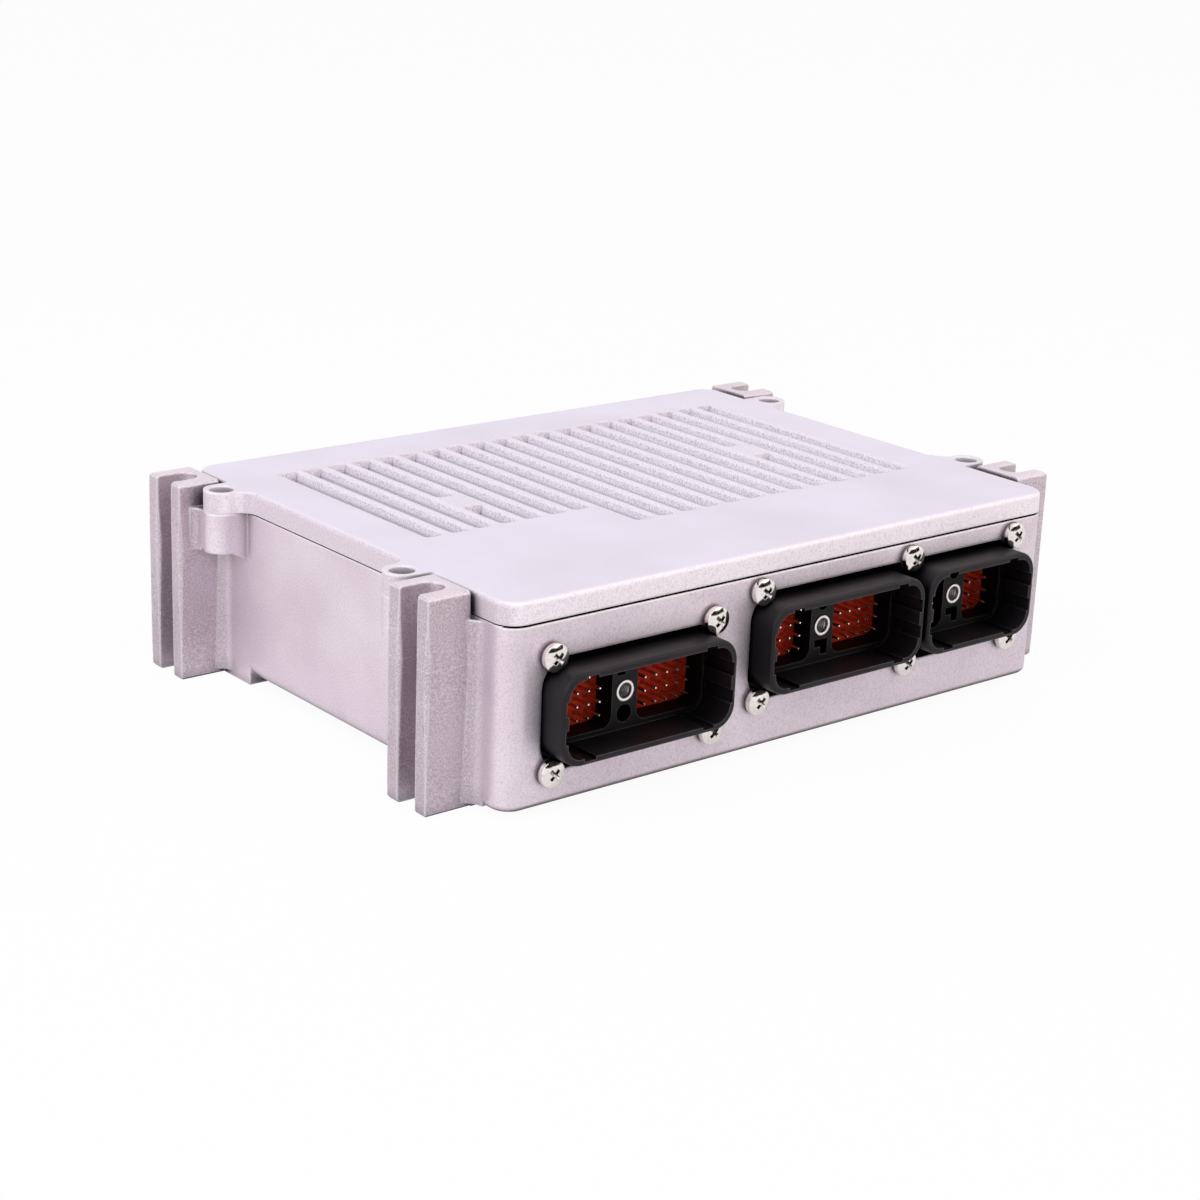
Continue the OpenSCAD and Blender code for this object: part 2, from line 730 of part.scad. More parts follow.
// Flange outline between two end screws
module flange_plan(x0, x1, z) {
    translate([(x0 + x1) / 2, z])
        round_rect(x1 - x0 + 2 * flange_margin, flange_h, flange_margin);
}

module plug_points() {
    for (s = [-1, 1]) {
        for (x = screws_a) translate([x, front_y, plug_a_z + s * screw_z]) children();
        for (x = screws_bc) translate([x, front_y, plug_b_z + s * screw_z]) children();
    }
}

// Threaded holes of the flanges
module flange_threads() {
    plug_points() rotate([-90, 0, 0])
        translate([0, 0, wall_t]) cylinder(h = plug_seal_t + flange_t + over, r = screw_r);
}

module plug_a_shell() {
    color([0.16, 0.16, 0.18]) difference() {
        union() {
            translate([plug_a_x, 0, plug_a_z]) shroud_solid(shroud_w);
            slab(flange_y, flange_y + flange_t) flange_plan(screws_a[0], screws_a[1], plug_a_z);
        }
        translate([plug_a_x, 0, plug_a_z]) {
            shroud_cut(shroud_w);
            post_marks_round();
        }
        flange_threads();
    }
}

module plug_bc_shell() {
    color([0.16, 0.16, 0.18]) difference() {
        union() {
            translate([plug_b_x, 0, plug_b_z]) shroud_solid(shroud_w);
            translate([plug_c_x, 0, plug_b_z]) shroud_solid(shroud_w_small);
            slab(flange_y, flange_y + flange_t) flange_plan(screws_bc[0], screws_bc[2], plug_b_z);
        }
        translate([plug_b_x, 0, plug_b_z]) {
            shroud_cut(shroud_w);
            post_marks_angle();
        }
        translate([plug_c_x, 0, plug_b_z]) {
            shroud_cut(shroud_w_small);
            post_marks_angle();
        }
        flange_threads();
    }
}

// Holes of the header screws through the wall and the gaskets
module screw_holes() {
    plug_points() rotate([-90, 0, 0]) translate([0, 0, -over])
        cylinder(h = wall_t + plug_seal_t + 2 * over, r = screw_r + screw_slack);
}

module plug_a_gasket() {
    color([0.10, 0.10, 0.11]) difference() {
        slab(front_y + wall_t, flange_y) difference() {
            flange_plan(screws_a[0], screws_a[1], plug_a_z);
            window_a();
        }
        screw_holes();
    }
}

module plug_bc_gasket() {
    color([0.10, 0.10, 0.11]) difference() {
        slab(front_y + wall_t, flange_y) difference() {
            flange_plan(screws_bc[0], screws_bc[2], plug_b_z);
            window_bc();
        }
        screw_holes();
    }
}

// Contact places of one header, n columns on each side of the post
module contact_points(n) {
    for (s = [-1, 1], i = [0 : n - 1], j = [-1.5 : 1 : 1.5])
        translate([s * (pin_first + i * pin_pitch_x), 0, j * pin_pitch_z]) children();
}

// Red seal of one header with its contact holes
module contact_seal(w, n) {
    color([0.62, 0.13, 0.06]) difference() {
        slab(insert_y, back_y) shroud_plan(w, shroud_t);
        contact_points(n) translate([0, insert_y - over, 0]) rotate([-90, 0, 0])
            cylinder(h = insert_t + 2 * over, r = pin_r, $fn = 24);
    }
}

// Contacts of one header, each with a pointed tip
module contacts(n) {
    tip_y = block_y + pin_back;
    color([0.80, 0.78, 0.72]) contact_points(n) translate([0, tip_y, 0]) rotate([-90, 0, 0]) {
        cylinder(h = pin_r, r1 = pin_r * 0.5, r2 = pin_r, $fn = 24);
        translate([0, 0, pin_r]) cylinder(h = back_y + pin_tail - tip_y - pin_r, r = pin_r, $fn = 24);
    }
}

// Threaded jackscrew nut in the post of one header
module jack_nut() {
    color([0.78, 0.78, 0.80]) translate([0, block_y - nut_proud, 0]) rotate([-90, 0, 0]) difference() {
        cylinder(h = pocket_depth + nut_proud, r = nut_r);
        translate([0, 0, -over]) cylinder(h = pocket_depth + 2 * over, r = nut_bore_r);
    }
}

module plug_a_seal() {
    translate([plug_a_x, 0, plug_a_z]) contact_seal(shroud_w, ways_long);
}

module plug_b_seal() {
    translate([plug_b_x, 0, plug_b_z]) contact_seal(shroud_w, ways_long);
}

module plug_c_seal() {
    translate([plug_c_x, 0, plug_b_z]) contact_seal(shroud_w_small, ways_short);
}

module plug_a_contacts() {
    translate([plug_a_x, 0, plug_a_z]) contacts(ways_long);
}

module plug_b_contacts() {
    translate([plug_b_x, 0, plug_b_z]) contacts(ways_long);
}

module plug_c_contacts() {
    translate([plug_c_x, 0, plug_b_z]) contacts(ways_short);
}

module plug_a_nut() {
    translate([plug_a_x, 0, plug_a_z]) jack_nut();
}

module plug_b_nut() {
    translate([plug_b_x, 0, plug_b_z]) jack_nut();
}

module plug_c_nut() {
    translate([plug_c_x, 0, plug_b_z]) jack_nut();
}

// Pan-head screws with a cross recess, each seated on its washer
module plug_screws() {
    shank = washer_t + wall_t + plug_seal_t + flange_t;
    color([0.80, 0.79, 0.77]) plug_points() translate([0, -washer_t, 0]) rotate([90, 0, 0]) difference() {
        union() {
            intersection() {
                cylinder(h = head_h, r = head_r);
                translate([0, 0, head_h - head_dome_r]) sphere(head_dome_r);
            }
            translate([0, 0, -shank]) cylinder(h = shank, r = screw_r);
        }
        for (a = [-45, 45]) rotate([0, 0, a]) slab(-recess_w / 2, recess_w / 2)
            polygon([[-recess_r, head_h + eps], [recess_r, head_h + eps],
                [recess_floor, head_h - recess_d], [-recess_floor, head_h - recess_d]]);
    }
}

// Spring washers with their slits
module plug_washers() {
    color([0.70, 0.69, 0.68]) plug_points() rotate([90, 0, 0]) difference() {
        cylinder(h = washer_t, r = washer_r);
        translate([0, 0, -over]) cylinder(h = washer_t + 2 * over, r = screw_r + screw_slack);
        translate([0, -washer_slit / 2, -over])
            cube([washer_r + over, washer_slit, washer_t + 2 * over]);
    }
}

module circuit_board() {
    color([0.10, 0.32, 0.18]) difference() {
        translate([-board_w / 2, -board_front, board_z])
            cube([board_w, board_front + board_rear, board_t]);
        board_points() translate([0, 0, board_z - over])
            cylinder(h = board_t + 2 * over, r = board_screw_r + screw_slack);
    }
}

module board_screws() {
    color([0.72, 0.72, 0.74]) board_points() {
        translate([0, 0, board_top]) cylinder(h = board_head_h, r = board_head_r);
        translate([0, 0, floor_z]) cylinder(h = board_top - floor_z, r = board_screw_r);
    }
}

module processor() {
    color([0.14, 0.14, 0.15]) translate([-chip_w / 2, -chip_w / 2, board_top])
        cube([chip_w, chip_w, chip_h]);
}

module capacitors() {
    color([0.35, 0.36, 0.40]) for (i = [-1, 0, 1])
        translate([board_w / 2 - cap_side + i * cap_pitch, board_rear - cap_behind, board_top])
            cylinder(h = cap_h, r = cap_r);
}

housing();
lid();
lid_gasket();
lid_screws();
plug_a_shell();
plug_a_gasket();
plug_a_seal();
plug_a_contacts();
plug_a_nut();
plug_bc_shell();
plug_bc_gasket();
plug_b_seal();
plug_b_contacts();
plug_b_nut();
plug_c_seal();
plug_c_contacts();
plug_c_nut();
plug_screws();
plug_washers();
circuit_board();
board_screws();
processor();
capacitors();
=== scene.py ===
"""Looks of an engine control unit: cast aluminium case and lid, black plug headers, bright screws."""

import json
import math

import bpy
from mathutils import Matrix, Vector


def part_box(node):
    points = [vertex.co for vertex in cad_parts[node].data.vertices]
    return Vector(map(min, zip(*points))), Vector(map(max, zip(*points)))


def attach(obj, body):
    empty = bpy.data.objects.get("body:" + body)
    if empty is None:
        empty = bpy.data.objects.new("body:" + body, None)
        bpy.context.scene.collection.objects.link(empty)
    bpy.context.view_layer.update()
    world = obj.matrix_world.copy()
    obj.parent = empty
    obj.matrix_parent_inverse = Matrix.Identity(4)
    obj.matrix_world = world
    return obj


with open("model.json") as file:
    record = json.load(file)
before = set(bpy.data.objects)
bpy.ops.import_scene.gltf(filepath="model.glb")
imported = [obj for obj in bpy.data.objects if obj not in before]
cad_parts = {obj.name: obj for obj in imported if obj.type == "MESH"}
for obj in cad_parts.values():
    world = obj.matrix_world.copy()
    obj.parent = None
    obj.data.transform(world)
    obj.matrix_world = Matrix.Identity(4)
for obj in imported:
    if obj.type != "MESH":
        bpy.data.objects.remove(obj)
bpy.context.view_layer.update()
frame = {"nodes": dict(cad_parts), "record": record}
nodes = frame["nodes"]
mounts = {m["name"]: m for m in frame["record"]["mounts"]}
MM = 0.001

# Places on the part that finishes follow, in metres
LID_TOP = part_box("lid")[1][2]
SIDE_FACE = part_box("lid_gasket")[1][0]
MOULD_LINE = 42 * MM
COLUMN_HALF = 11 * MM
COLUMN_START = mounts["mounting_slots"]["dims"]["spacing_y_mm"] / 2 * MM - COLUMN_HALF
# The field of grooves: half its size, where short grooves give way to long ones, and the front ends of both
GROOVES_X, GROOVES_Y = 90.5 * MM, 54 * MM
LAST_SHORT, SHORT_END, LONG_END = -27.5 * MM, -27 * MM, -45.5 * MM


# Shader helpers

def linear(hex_colour):
    """An sRGB hex colour as the linear colour that shaders take."""
    parts = [int(hex_colour[i:i + 2], 16) / 255 for i in (0, 2, 4)]
    return [c / 12.92 if c <= 0.04045 else ((c + 0.055) / 1.055) ** 2.4 for c in parts] + [1.0]


def add(tree, kind, inputs=None, **settings):
    """Adds a shader node. An input is a constant, a hex colour, or the node or socket it is linked from."""
    made = tree.nodes.new("ShaderNode" + kind)
    for name, value in settings.items():
        setattr(made, name, value)
    for name, value in (inputs or {}).items():
        if isinstance(value, bpy.types.Node):
            value = next(socket for socket in value.outputs if socket.enabled)
        if isinstance(value, bpy.types.NodeSocket):
            tree.links.new(value, made.inputs[name])
        else:
            made.inputs[name].default_value = linear(value) if isinstance(value, str) else value
    return made


def per_metre(size_mm):
    """Texture scale at which one feature of a pattern is about this many millimetres wide."""
    return 1 / (size_mm * MM)


def new_material(name):
    """An empty material and its node tree."""
    made = bpy.data.materials.new(name)
    made.use_nodes = True
    made.node_tree.nodes.clear()
    return made, made.node_tree


def layered(tree, colour, *layers):
    """Tints laid over a colour one after the other, each where its own mask is 1."""
    for mask, tint in layers:
        colour = add(tree, "Mix", {0: mask, 6: colour, 7: tint}, data_type="RGBA")
    return colour


def edge_mask(tree, radius_mm):
    """1 along edges, 0 on flat faces, and the normal rounded over the same radius."""
    rounded = add(tree, "Bevel", {"Radius": radius_mm * MM}, samples=4)
    face = add(tree, "NewGeometry").outputs["Normal"]
    alike = add(tree, "VectorMath", {0: rounded, 1: face}, operation="DOT_PRODUCT")
    return add(tree, "MapRange", {"Value": alike, "From Min": 0.995, "From Max": 0.80}), rounded


def hollow_mask(tree, reach_mm, open_at, shut_at):
    """1 deep in slots, grooves and recesses of about this reach, 0 in the open."""
    seen = add(tree, "AmbientOcclusion", {"Distance": reach_mm * MM}, samples=4).outputs["AO"]
    return add(tree, "MapRange", {"Value": seen, "From Min": open_at, "From Max": shut_at})


# Materials

def cast_skin(tree, place, colour, pale, spot, shade, glitter, dull, bare, edge_mm, hollow_shade):
    """Shot-blasted skin of a die casting over a colour: fine grit marks that glitter or lie in shade, pale
    edges that are a painted highlight, painted shade in hollows, and near-black painted shade in narrow gaps.
    The share called bare shines as metal; the rest is light that the blasted skin scatters."""
    # Real grit marks are about 0.1 mm wide; they are drawn at 0.5 mm so that they show
    grit = add(tree, "TexNoise", {"Vector": place, "Scale": per_metre(0.5), "Detail": 2.0})
    bright = add(tree, "MapRange", {"Value": grit, "From Min": 0.5, "From Max": 0.7, "To Max": glitter})
    dim = add(tree, "MapRange", {"Value": grit, "From Min": 0.5, "From Max": 0.3, "To Max": glitter})
    edge_highlight, rounded = edge_mask(tree, edge_mm)
    gap_shade = hollow_mask(tree, 5, 0.4, 0.08)
    # Pale edges are a painted highlight; the hollow shade and the near-black in narrow gaps are painted shade
    colour = layered(tree, colour, (bright, pale), (dim, spot), (hollow_shade, shade), (edge_highlight, pale),
                     (gap_shade, "1d171a"))
    dent = add(tree, "Bump", {"Height": grit, "Normal": rounded, "Strength": glitter, "Distance": 0.08 * MM})
    skin = add(tree, "BsdfPrincipled", {
        "Base Color": colour, "Metallic": bare, "Normal": dent, "Roughness": dull})
    add(tree, "OutputMaterial", {"Surface": skin})


def cast_case():
    """Die-cast aluminium, shot-blasted: satin silver with a faint lilac cast and cloudy walls where the
    melt cooled unevenly; the columns' sides are darker, painted shade, with the thin line where the mould
    halves met."""
    made, tree = new_material("blasted_cast_aluminium_case")
    coords = add(tree, "TexCoord").outputs
    place = coords["Object"]
    cloud = add(tree, "TexNoise", {"Vector": place, "Scale": per_metre(30), "Detail": 4.0})
    axes = add(tree, "SeparateXYZ", {0: place}).outputs
    facing = add(tree, "SeparateXYZ", {0: coords["Normal"]}).outputs
    outward = add(tree, "Math", {0: axes["X"]}, operation="ABSOLUTE")
    along = add(tree, "Math", {0: axes["Y"]}, operation="ABSOLUTE")
    sideways = add(tree, "Math", {0: facing["X"]}, operation="ABSOLUTE")

    # Columns stand out past the side walls at both ends; their sides take a darker tone, painted shade,
    # while their flat tops keep the tone of the walls
    beside = add(tree, "MapRange", {
        "Value": outward, "From Min": SIDE_FACE + 0.6 * MM, "From Max": SIDE_FACE + 1.6 * MM})
    at_end = add(tree, "MapRange", {
        "Value": along, "From Min": COLUMN_START - 1 * MM, "From Max": COLUMN_START})
    upright = add(tree, "MapRange", {"Value": facing["Z"], "From Min": 0.95, "From Max": 0.5})
    on_column = add(tree, "Math", {0: beside, 1: at_end}, operation="MULTIPLY")
    on_column = add(tree, "Math", {0: on_column, 1: upright}, operation="MULTIPLY")
    off_line = add(tree, "Math", {0: axes["Z"], 1: MOULD_LINE}, operation="SUBTRACT")
    off_line = add(tree, "Math", {0: off_line}, operation="ABSOLUTE")
    near_line = add(tree, "MapRange", {"Value": off_line, "From Min": 0.2 * MM, "From Max": 0.05 * MM})
    line = add(tree, "Math", {0: on_column, 1: near_line}, operation="MULTIPLY")

    # The round lower edges of the front and rear walls lie in their own shade
    downward = add(tree, "MapRange", {"Value": facing["Z"], "From Min": -0.1, "From Max": -0.6})
    off_side = add(tree, "MapRange", {"Value": sideways, "From Min": 0.5, "From Max": 0.2})
    under = add(tree, "Math", {0: downward, 1: off_side}, operation="MULTIPLY")

    wall_cloud = add(tree, "MapRange", {"Value": cloud, "From Min": 0.35, "From Max": 0.7})
    column_cloud = add(tree, "MapRange", {"Value": cloud, "From Min": 0.4, "From Max": 0.65})
    wall = layered(tree, "e8dee6", (wall_cloud, "dacdd7"))
    # The darker tone on the columns' sides is painted shade
    column_shade = layered(tree, "cdc1c9", (column_cloud, "c2b6bd"))
    colour = layered(tree, wall, (on_column, column_shade), (line, "dcd3da"), (under, "7d7276"))
    cast_skin(tree, place, colour, pale="f6f0f5", spot="8d8089", shade="44393f",
              glitter=add(tree, "MapRange", {"Value": on_column, "To Min": 0.25, "To Max": 0.4}),
              dull=0.5, bare=0.85, edge_mm=1.1, hollow_shade=hollow_mask(tree, 8, 0.65, 0.15))
    return made


def cast_lid():
    """Die-cast aluminium with a top face ground flat before blasting: an even, pale satin; the grooves and
    the lid's edge keep the rough casting skin, which glitters."""
    made, tree = new_material("blasted_cast_aluminium_lid")
    coords = add(tree, "TexCoord").outputs
    place = coords["Object"]
    cloud = add(tree, "TexNoise", {"Vector": place, "Scale": per_metre(40), "Detail": 3.0})
    axes = add(tree, "SeparateXYZ", {0: place}).outputs
    facing = add(tree, "SeparateXYZ", {0: coords["Normal"]}).outputs
    across = add(tree, "Math", {0: axes["X"]}, operation="ABSOLUTE")
    along = add(tree, "Math", {0: axes["Y"]}, operation="ABSOLUTE")
    sideways = add(tree, "Math", {0: facing["X"]}, operation="ABSOLUTE")

    # Below the ground face all skin is rough; the rim is all that lies outside the field of grooves
    rough = add(tree, "MapRange", {
        "Value": axes["Z"], "From Min": LID_TOP - 0.1 * MM, "From Max": LID_TOP - 0.6 * MM})
    past_x = add(tree, "MapRange", {"Value": across, "From Min": GROOVES_X, "From Max": GROOVES_X + 2 * MM})
    past_y = add(tree, "MapRange", {"Value": along, "From Min": GROOVES_Y, "From Max": GROOVES_Y + 2 * MM})
    at_rim = add(tree, "Math", {0: past_x, 1: past_y}, operation="MAXIMUM")
    # Faces turned to the front get a lighter skin, painted light; the rim's faces turned sideways a darker
    # one, painted shade
    to_front = add(tree, "MapRange", {"Value": facing["Y"], "From Min": -0.4, "From Max": -0.8})
    to_side = add(tree, "MapRange", {"Value": sideways, "From Min": 0.4, "From Max": 0.8})
    front_lit_or_rim = add(tree, "Math", {0: at_rim, 1: to_front}, operation="MAXIMUM")

    # Grit marks lie thick in the grooves, thinner on the ridges between them and along the rim
    front_end = add(tree, "MapRange", {
        "Value": axes["X"], "From Min": LAST_SHORT, "From Max": LAST_SHORT + 1 * MM,
        "To Min": SHORT_END, "To Max": LONG_END})
    ridged = add(tree, "Math", {0: axes["Y"], 1: front_end}, operation="GREATER_THAN")
    on_ridges = add(tree, "MapRange", {"Value": at_rim, "To Min": 0.5, "To Max": 0.0})
    ridged = add(tree, "Math", {0: ridged, 1: on_ridges}, operation="MULTIPLY")
    marked = add(tree, "Math", {0: rough, 1: ridged}, operation="MAXIMUM")
    thinned = add(tree, "MapRange", {"Value": at_rim, "To Min": 1.0, "To Max": 0.5})
    marked = add(tree, "Math", {0: marked, 1: thinned}, operation="MULTIPLY")

    # Shade lies along the foot of each groove, but not at its lit end, and deep in the ears' holes
    off_front = add(tree, "MapRange", {"Value": facing["Y"], "From Min": -0.8, "From Max": -0.4})
    off_rim = add(tree, "MapRange", {"Value": at_rim, "From Min": 1.0, "From Max": 0.0})
    groove_foot = hollow_mask(tree, 1.6, 0.92, 0.55)
    for share in (off_front, off_rim):
        groove_foot = add(tree, "Math", {0: groove_foot, 1: share}, operation="MULTIPLY")
    ear_hole = add(tree, "Math", {0: hollow_mask(tree, 6, 0.65, 0.3), 1: at_rim}, operation="MULTIPLY")
    hollow_shade = add(tree, "Math", {0: groove_foot, 1: ear_hole}, operation="MAXIMUM")

    clouded = add(tree, "MapRange", {"Value": cloud, "From Min": 0.35, "From Max": 0.7})
    # Painted light on the rim and on faces turned to the front, painted shade on the rim's sideways faces
    rim_skin = layered(tree, "f5eef5", (to_side, "dad1d9"))
    groove_skin = layered(tree, "e8e5ed", (front_lit_or_rim, rim_skin))
    colour = layered(tree, "e9e3f0", (clouded, "e2dbe8"), (rough, groove_skin))
    cast_skin(tree, place, colour, pale="fdfafa", spot="a99da8",
              shade=layered(tree, "8a7e8f", (at_rim, "3c3239")),
              glitter=add(tree, "MapRange", {"Value": marked, "To Min": 0.06, "To Max": 0.6}),
              dull=add(tree, "MapRange", {"Value": rough, "To Min": 0.6, "To Max": 0.65}),
              bare=0.5, edge_mm=1.0, hollow_shade=hollow_shade)
    return made


def moulded_nylon():
    """Glass-filled nylon, injection moulded: near-black with a fine spark-eroded grain; greyer rims, a
    painted highlight; and near-black painted shade deep in the shrouds, where it also reflects less."""
    made, tree = new_material("black_moulded_nylon")
    place = add(tree, "TexCoord").outputs["Object"]
    # The real grain is about 0.08 mm wide; it is drawn at 0.5 mm so that it shows
    grain = add(tree, "TexNoise", {"Vector": place, "Scale": per_metre(0.5), "Detail": 2.0})
    flow = add(tree, "TexNoise", {"Vector": place, "Scale": per_metre(14), "Detail": 3.0})
    streaks = add(tree, "MapRange", {"Value": flow, "From Min": 0.4, "From Max": 0.7})
    edge_highlight, rounded = edge_mask(tree, 0.45)
    deep_shade = hollow_mask(tree, 25, 0.68, 0.4)
    # Greyer edges are a painted highlight; near-black deep in the shrouds, with less reflection, is painted
    # shade
    colour = layered(tree, "19171a", (streaks, "212023"), (edge_highlight, "6a666d"), (deep_shade, "060506"))
    dent = add(tree, "Bump", {"Height": grain, "Normal": rounded, "Strength": 0.25, "Distance": 0.03 * MM})
    nylon = add(tree, "BsdfPrincipled", {
        "Base Color": colour, "IOR": 1.53, "Normal": dent,
        "Specular IOR Level": add(tree, "MapRange", {"Value": deep_shade, "To Min": 0.18, "To Max": 0.06}),
        "Roughness": add(tree, "MapRange", {"Value": flow, "To Min": 0.36, "To Max": 0.52})})
    add(tree, "OutputMaterial", {"Surface": nylon})
    return made


def red_silicone():
    """Silicone rubber, compression moulded: brick red, dull, with faint ripples from the mould, and
    painted shade where it lies close under the shroud."""
    made, tree = new_material("red_silicone_seal")
    place = add(tree, "TexCoord").outputs["Object"]
    ripple = add(tree, "TexNoise", {"Vector": place, "Scale": per_metre(1.8), "Detail": 3.0})
    crest = add(tree, "MapRange", {"Value": ripple, "From Min": 0.35, "From Max": 0.65})
    deep_shade = hollow_mask(tree, 25, 0.39, 0.13)
    # The dark red deep under the shroud is painted shade
    colour = layered(tree, "d82c12", (crest, "f4461e"), (deep_shade, "3a0a05"))
    dent = add(tree, "Bump", {"Height": ripple, "Strength": 0.6, "Distance": 0.3 * MM})
    rubber = add(tree, "BsdfPrincipled", {
        "Base Color": colour, "IOR": 1.41, "Specular IOR Level": 0.3, "Normal": dent,
        "Roughness": add(tree, "MapRange", {"Value": ripple, "To Min": 0.42, "To Max": 0.6})})
    add(tree, "OutputMaterial", {"Surface": rubber})
    return made


def plated_metal(name, base, dull, hollow_shade, roughness, scratch_mm):
    """A plated or drawn part: bright metal with fine turning and handling marks that spread the gloss,
    softly rounded edges, and painted shade in its recesses."""
    made, tree = new_material(name)
    place = add(tree, "TexCoord").outputs["Object"]
    # Real marks are about 0.1 mm wide; scratch_mm draws them coarse enough to show
    marks = add(tree, "TexNoise", {"Vector": place, "Scale": per_metre(scratch_mm), "Detail": 4.0})
    worn = add(tree, "MapRange", {"Value": marks, "From Min": 0.4, "From Max": 0.7})
    # The darker colour in recesses is painted shade
    colour = layered(tree, base, (worn, dull), (hollow_mask(tree, 1.4, 0.92, 0.5), hollow_shade))
    rounded = add(tree, "Bevel", {"Radius": 0.4 * MM}, samples=4)
    dent = add(tree, "Bump", {"Height": marks, "Normal": rounded, "Strength": 0.15, "Distance": 0.02 * MM})
    metal = add(tree, "BsdfPrincipled", {
        "Base Color": colour, "Metallic": 1.0, "Normal": dent,
        "Roughness": add(tree, "MapRange", {"Value": marks, "To Min": roughness, "To Max": roughness * 1.8})})
    add(tree, "OutputMaterial", {"Surface": metal})
    return made


def tinned_pin():
    """Tin-plated brass contact: bright metal that mirrors the red seal along its shank, and a white tip that
    is a painted highlight on faces turned to the front.
    """
    made, tree = new_material("tin_plated_contact")
    coords = add(tree, "TexCoord").outputs
    # Marks of the plating are under 0.1 mm wide; they are drawn at 0.4 mm so that they show
    marks = add(tree, "TexNoise", {"Vector": coords["Object"], "Scale": per_metre(0.4)})
    worn = add(tree, "MapRange", {"Value": marks, "From Min": 0.35, "From Max": 0.7})
    forward = add(tree, "SeparateXYZ", {0: coords["Normal"]}).outputs["Y"]
    # Faces turned to the front are painted white, a painted highlight on the tip
    tip_highlight = add(tree, "MapRange", {"Value": forward, "From Min": -0.5, "From Max": -0.9})
    metal = add(tree, "BsdfPrincipled", {
        "Base Color": layered(tree, "d8c8bc", (worn, "c0aa9c"), (tip_highlight, "ffffff")), "Metallic": 1.0,
        "Roughness": add(tree, "MapRange", {"Value": marks, "To Min": 0.12, "To Max": 0.24})})
    add(tree, "OutputMaterial", {"Surface": metal})
    return made


def plain_moulding(name, base, dull, roughness, ior, gloss, grain_mm):
    """A moulded or printed surface with a fine grain and a slight change of tone across it."""
    made, tree = new_material(name)
    place = add(tree, "TexCoord").outputs["Object"]
    # The real grain is under 0.1 mm wide; grain_mm draws it coarse enough to show
    grain = add(tree, "TexNoise", {"Vector": place, "Scale": per_metre(grain_mm), "Detail": 3.0})
    tone = add(tree, "MapRange", {"Value": grain, "From Min": 0.35, "From Max": 0.7})
    dent = add(tree, "Bump", {"Height": grain, "Strength": 0.2, "Distance": 0.03 * MM})
    surface = add(tree, "BsdfPrincipled", {
        "Base Color": layered(tree, base, (tone, dull)), "IOR": ior, "Specular IOR Level": gloss,
        "Roughness": roughness, "Normal": dent})
    add(tree, "OutputMaterial", {"Surface": surface})
    return made


case_metal = cast_case()
lid_metal = cast_lid()
nylon = moulded_nylon()
silicone = red_silicone()
tin = tinned_pin()
# The fourth colour of each plated metal is the painted shade in its recesses
nickel = plated_metal("nickel_plated_steel", "f2ece8", "e2dcd6", "3a2a22", 0.07, 0.9)
zinc = plated_metal("zinc_plated_steel", "c8c6c8", "b0aeb1", "4a474a", 0.28, 0.9)
can = plated_metal("drawn_aluminium_can", "b9bac0", "a2a3a9", "6a6b70", 0.3, 1.5)
gasket = plain_moulding("black_nitrile_gasket", "0b0609", "140c11", 0.8, 1.52, 0.03, 0.8)
laminate = plain_moulding("green_board_laminate", "14512c", "1b6337", 0.35, 1.55, 0.5, 2.0)
epoxy = plain_moulding("black_moulded_epoxy", "18181a", "222225", 0.6, 1.55, 0.5, 0.4)

finish_of = {
    "housing": case_metal, "lid": lid_metal, "lid_gasket": gasket, "lid_screws": zinc,
    "plug_a_shell": nylon, "plug_a_gasket": gasket, "plug_a_seal": silicone,
    "plug_a_contacts": tin, "plug_a_nut": nickel,
    "plug_bc_shell": nylon, "plug_bc_gasket": gasket,
    "plug_b_seal": silicone, "plug_b_contacts": tin, "plug_b_nut": nickel,
    "plug_c_seal": silicone, "plug_c_contacts": tin, "plug_c_nut": nickel,
    "plug_screws": nickel, "plug_washers": zinc,
    "circuit_board": laminate, "board_screws": zinc, "processor": epoxy, "capacitors": can,
}
for name, material in finish_of.items():
    slots = nodes[name].data.materials
    slots.clear()
    slots.append(material)


# Jackscrew threads, in millimetres; the flank is half a ridge's width as a share of the pitch

THREAD_PITCH = 0.8
THREAD_DEPTH = 0.3
THREAD_FLANK = 0.45
THREAD_STEPS = 40


def nut_thread(name, mount):
    """The thread inside a jackscrew nut: one ridge wound along the bore, rising and fading over a turn."""
    bore, length = mount["dims"]["r_mm"], mount["dims"]["length_mm"]
    turns = (length - 2 * THREAD_PITCH) / THREAD_PITCH
    count = int(turns * THREAD_STEPS)
    points, faces = [], []
    for i in range(count + 1):
        angle = 2 * math.pi * i / THREAD_STEPS
        depth = THREAD_PITCH + THREAD_PITCH * i / THREAD_STEPS
        grow = min(1, i / THREAD_STEPS, (count - i) / THREAD_STEPS)
        for r, shift in ((bore, -THREAD_FLANK), (bore - THREAD_DEPTH * grow, 0), (bore, THREAD_FLANK)):
            points.append((r * math.cos(angle), depth + shift * THREAD_PITCH, r * math.sin(angle)))
    for i in range(count):
        a = 3 * i
        faces += [(a, a + 1, a + 4, a + 3), (a + 1, a + 2, a + 5, a + 4)]
    mesh = bpy.data.meshes.new(name)
    mesh.from_pydata([[c * MM for c in p] for p in points], [], faces)
    mesh.materials.append(zinc)
    made = bpy.data.objects.new(name, mesh)
    bpy.context.scene.collection.objects.link(made)
    made.location = mount["pos_m"]
    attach(made, "root")


for letter in "abc":
    nut_thread("nut_thread_" + letter, mounts["jackscrew_" + letter])


# Camera at the photograph's angle, solved from the edges of the case; focal length in pixels

FOCAL = 2467.4
IMAGE = 1200
AZIMUTH, ELEVATION, ROLL = (math.radians(a) for a in (-39.79, 18.13, 2.27))
TARGET = Vector((0.04, 2.43, 19.42)) * MM
DISTANCE = 790.8 * MM

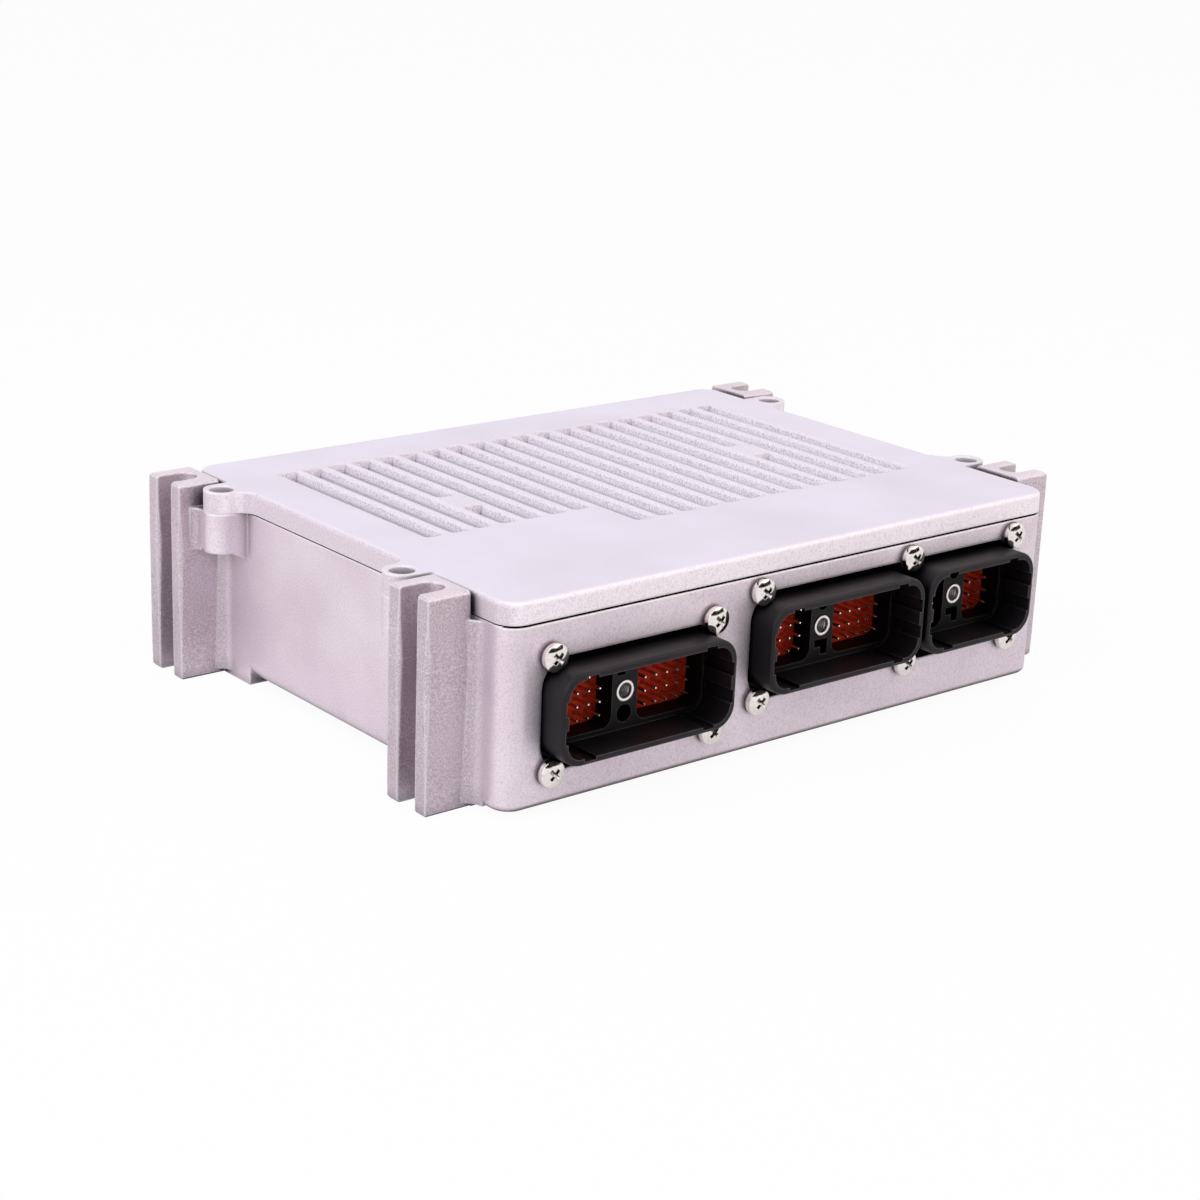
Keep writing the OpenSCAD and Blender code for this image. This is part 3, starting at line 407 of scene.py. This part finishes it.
back = Vector((math.sin(AZIMUTH) * math.cos(ELEVATION),
               -math.cos(AZIMUTH) * math.cos(ELEVATION), math.sin(ELEVATION)))
right = Vector((0, 0, 1)).cross(back).normalized()
up = back.cross(right)
turned_right = right * math.cos(ROLL) + up * math.sin(ROLL)
turned_up = up * math.cos(ROLL) - right * math.sin(ROLL)
lens = bpy.data.cameras.new("camera")
lens.sensor_width = 36
lens.lens = FOCAL / IMAGE * lens.sensor_width
camera = bpy.data.objects.new("camera", lens)
camera.matrix_world = Matrix.Translation(TARGET + back * DISTANCE) @ Matrix(
    (turned_right, turned_up, back)).transposed().to_4x4()
bpy.context.scene.collection.objects.link(camera)
bpy.context.scene.camera = camera


# Light and floor

def area_lamp(name, place, size, watts, colour):
    """A soft square lamp aimed at the middle of the case."""
    data = bpy.data.lights.new(name, "AREA")
    data.size = size
    data.energy = watts
    data.color = linear(colour)[:3]
    lamp = bpy.data.objects.new(name, data)
    lamp.location = place
    lamp.rotation_euler = (TARGET - Vector(place)).to_track_quat("-Z", "Y").to_euler()
    bpy.context.scene.collection.objects.link(lamp)


area_lamp("key_lamp", (-0.7, -0.4, 1.1), 1.4, 7, "f6f2ff")
area_lamp("front_lamp", (0.9, -1.1, 0.95), 1.2, 7.5, "fff0e0")
area_lamp("left_lamp", (-1.3, 0.1, 0.6), 1.1, 5, "fff2f8")


def flat_sheet(name, width, height, material):
    """A flat rectangle round the origin, linked into the scene."""
    mesh = bpy.data.meshes.new(name)
    mesh.from_pydata([(x * width / 2, y * height / 2, 0) for x, y in ((-1, -1), (1, -1), (1, 1), (-1, 1))],
                     [], [(0, 1, 2, 3)])
    mesh.materials.append(material)
    sheet = bpy.data.objects.new(name, mesh)
    bpy.context.scene.collection.objects.link(sheet)
    return sheet


# A black card that only gloss sees gives bright metal its dark bands
felt, tree = new_material("black_felt_card")
add(tree, "OutputMaterial", {"Surface": add(tree, "BsdfDiffuse", {"Color": "060606"})})
card = flat_sheet("front_card", 2.2, 0.3, felt)
card.location = (0.45, -1.3, 0.4)
card.rotation_euler = (TARGET - card.location).to_track_quat("-Z", "Y").to_euler()
card.visible_camera = False
card.visible_diffuse = False
card.visible_shadow = False


def seen_directly(tree, most, glossy):
    """The share of plain white that rays see of the background: camera and transmission rays the most,
    glossy rays less, so that metal also shows the object's shadow."""
    path = add(tree, "LightPath").outputs
    through = add(tree, "Math", {
        0: path["Is Camera Ray"], 1: path["Is Transmission Ray"]}, operation="MAXIMUM")
    through = add(tree, "Math", {0: through, 1: most}, operation="MULTIPLY")
    metal = add(tree, "Math", {0: path["Is Glossy Ray"], 1: glossy}, operation="MULTIPLY")
    return add(tree, "Math", {0: through, 1: metal}, operation="MAXIMUM")


world = bpy.data.worlds.new("white_studio")
world.use_nodes = True
tree = world.node_tree
tree.nodes.clear()
ambient = add(tree, "Background", {"Color": "ffffff", "Strength": 0.55})
white = add(tree, "Background", {"Color": "ffffff", "Strength": 1.0})
both = add(tree, "MixShader", {0: seen_directly(tree, 1.0, 1.0), 1: ambient, 2: white})
add(tree, "OutputWorld", {"Surface": both})
bpy.context.scene.world = world

paper, tree = new_material("white_paper_sweep")
matte = add(tree, "BsdfDiffuse", {"Color": "f4f4f4"})
glow = add(tree, "Emission", {"Color": "ffffff", "Strength": 1.0})
both = add(tree, "MixShader", {0: seen_directly(tree, 0.95, 0.35), 1: matte, 2: glow})
add(tree, "OutputMaterial", {"Surface": both})
flat_sheet("floor", 8, 8, paper)

bpy.context.scene.view_settings.view_transform = "Standard"
